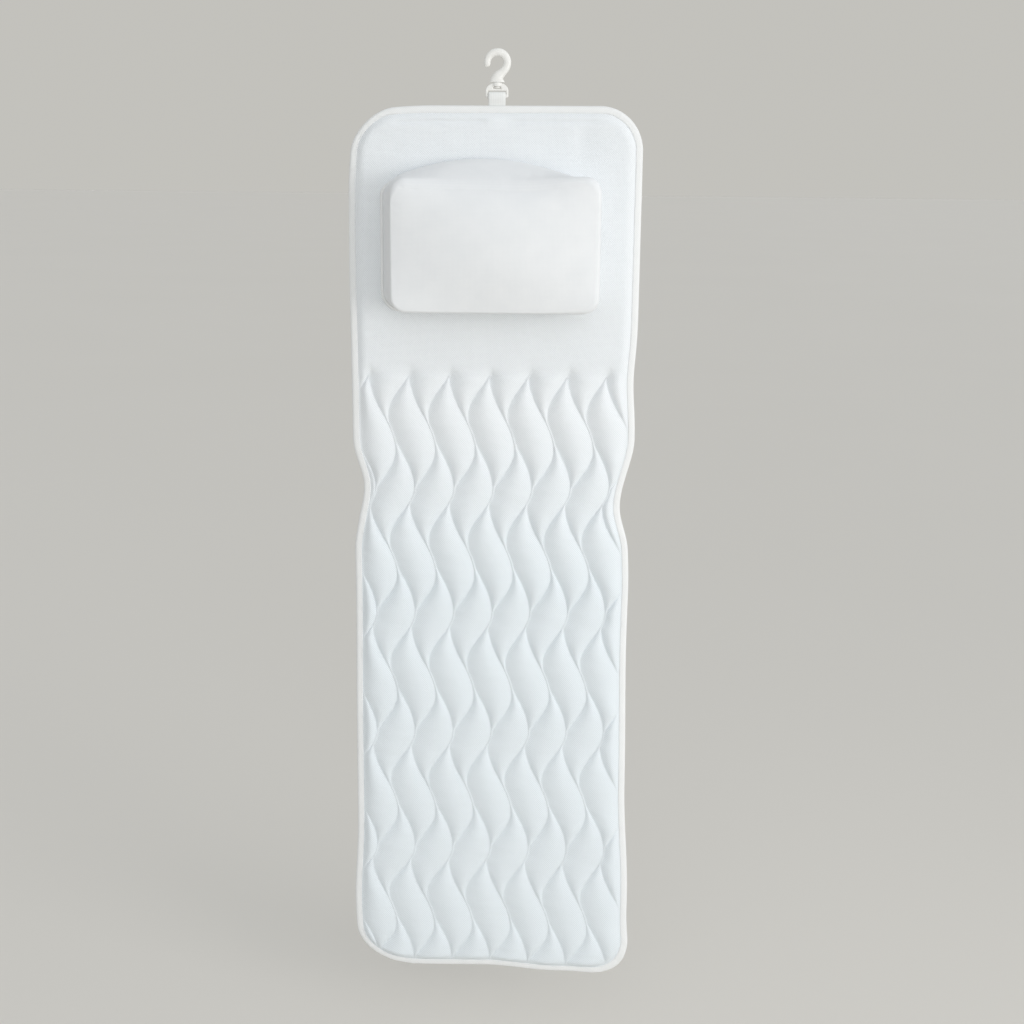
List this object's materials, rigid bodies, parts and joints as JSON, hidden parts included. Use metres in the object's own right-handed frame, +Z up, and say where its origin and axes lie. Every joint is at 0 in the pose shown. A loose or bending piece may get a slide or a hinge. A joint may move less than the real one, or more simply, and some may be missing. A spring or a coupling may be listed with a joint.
{
  "type": "bath pillow",
  "caption": "Full-length quilted bath mat with a headrest cushion sewn to its upper end, suction cups on its back and a swivel hook on a webbing loop to hang it up.",
  "frame": {"origin": "the top of the inside of the hook's bow, where it hangs on a rail", "axes": "+Z up along the mat's length, +X to the right seen from the front, the front with the headrest faces -Y"},
  "size_m": [0.4, 0.1151, 1.3437],
  "materials": {
    "mesh_fabric": "matte",
    "plain_fabric": "matte",
    "binding_fabric": "matte",
    "filling": "matte",
    "hook_plastic": "satin",
    "cup_vinyl": "gloss"
  },
  "bodies": {
    "hook": {"hanger_hook": "hook_plastic"},
    "base": {"swivel_base": "hook_plastic"},
    "upper_mat": {"webbing_loop": "binding_fabric", "upper_quilted_front": "mesh_fabric", "upper_spacer_core": "filling", "upper_back_cover": "mesh_fabric", "upper_edge_binding": "binding_fabric", "headrest_cover": "plain_fabric", "headrest_filling": "filling", "headrest_back_panel": "plain_fabric", "headrest_piping": "binding_fabric", "suction_cup_upper_left_1": "cup_vinyl", "suction_cup_upper_right_1": "cup_vinyl", "suction_cup_upper_left_2": "cup_vinyl", "suction_cup_upper_right_2": "cup_vinyl", "suction_cup_upper_left_3": "cup_vinyl", "suction_cup_upper_right_3": "cup_vinyl"},
    "lower_mat": {"lower_quilted_front": "mesh_fabric", "lower_spacer_core": "filling", "lower_back_cover": "mesh_fabric", "lower_edge_binding": "binding_fabric", "suction_cup_lower_left_1": "cup_vinyl", "suction_cup_lower_right_1": "cup_vinyl", "suction_cup_lower_left_2": "cup_vinyl", "suction_cup_lower_right_2": "cup_vinyl", "suction_cup_lower_left_3": "cup_vinyl", "suction_cup_lower_right_3": "cup_vinyl", "suction_cup_lower_left_4": "cup_vinyl", "suction_cup_lower_right_4": "cup_vinyl"}
  },
  "joints": [
    {"name": "hook_swivel", "type": "hinge", "parent": "hook", "child": "base", "pos_m": [0, 0, -0.037], "axis": [0, 0, 1], "continuous": true},
    {"name": "mat_swing", "type": "hinge", "parent": "base", "child": "upper_mat", "pos_m": [0, 0, -0.0518], "axis": [1, 0, 0], "range_deg": [-90, 90]},
    {"name": "waist_fold", "type": "hinge", "parent": "upper_mat", "child": "lower_mat", "pos_m": [0, -0.0151, -0.5993], "axis": [-1, 0, 0], "range_deg": [0, 150]}
  ]
}
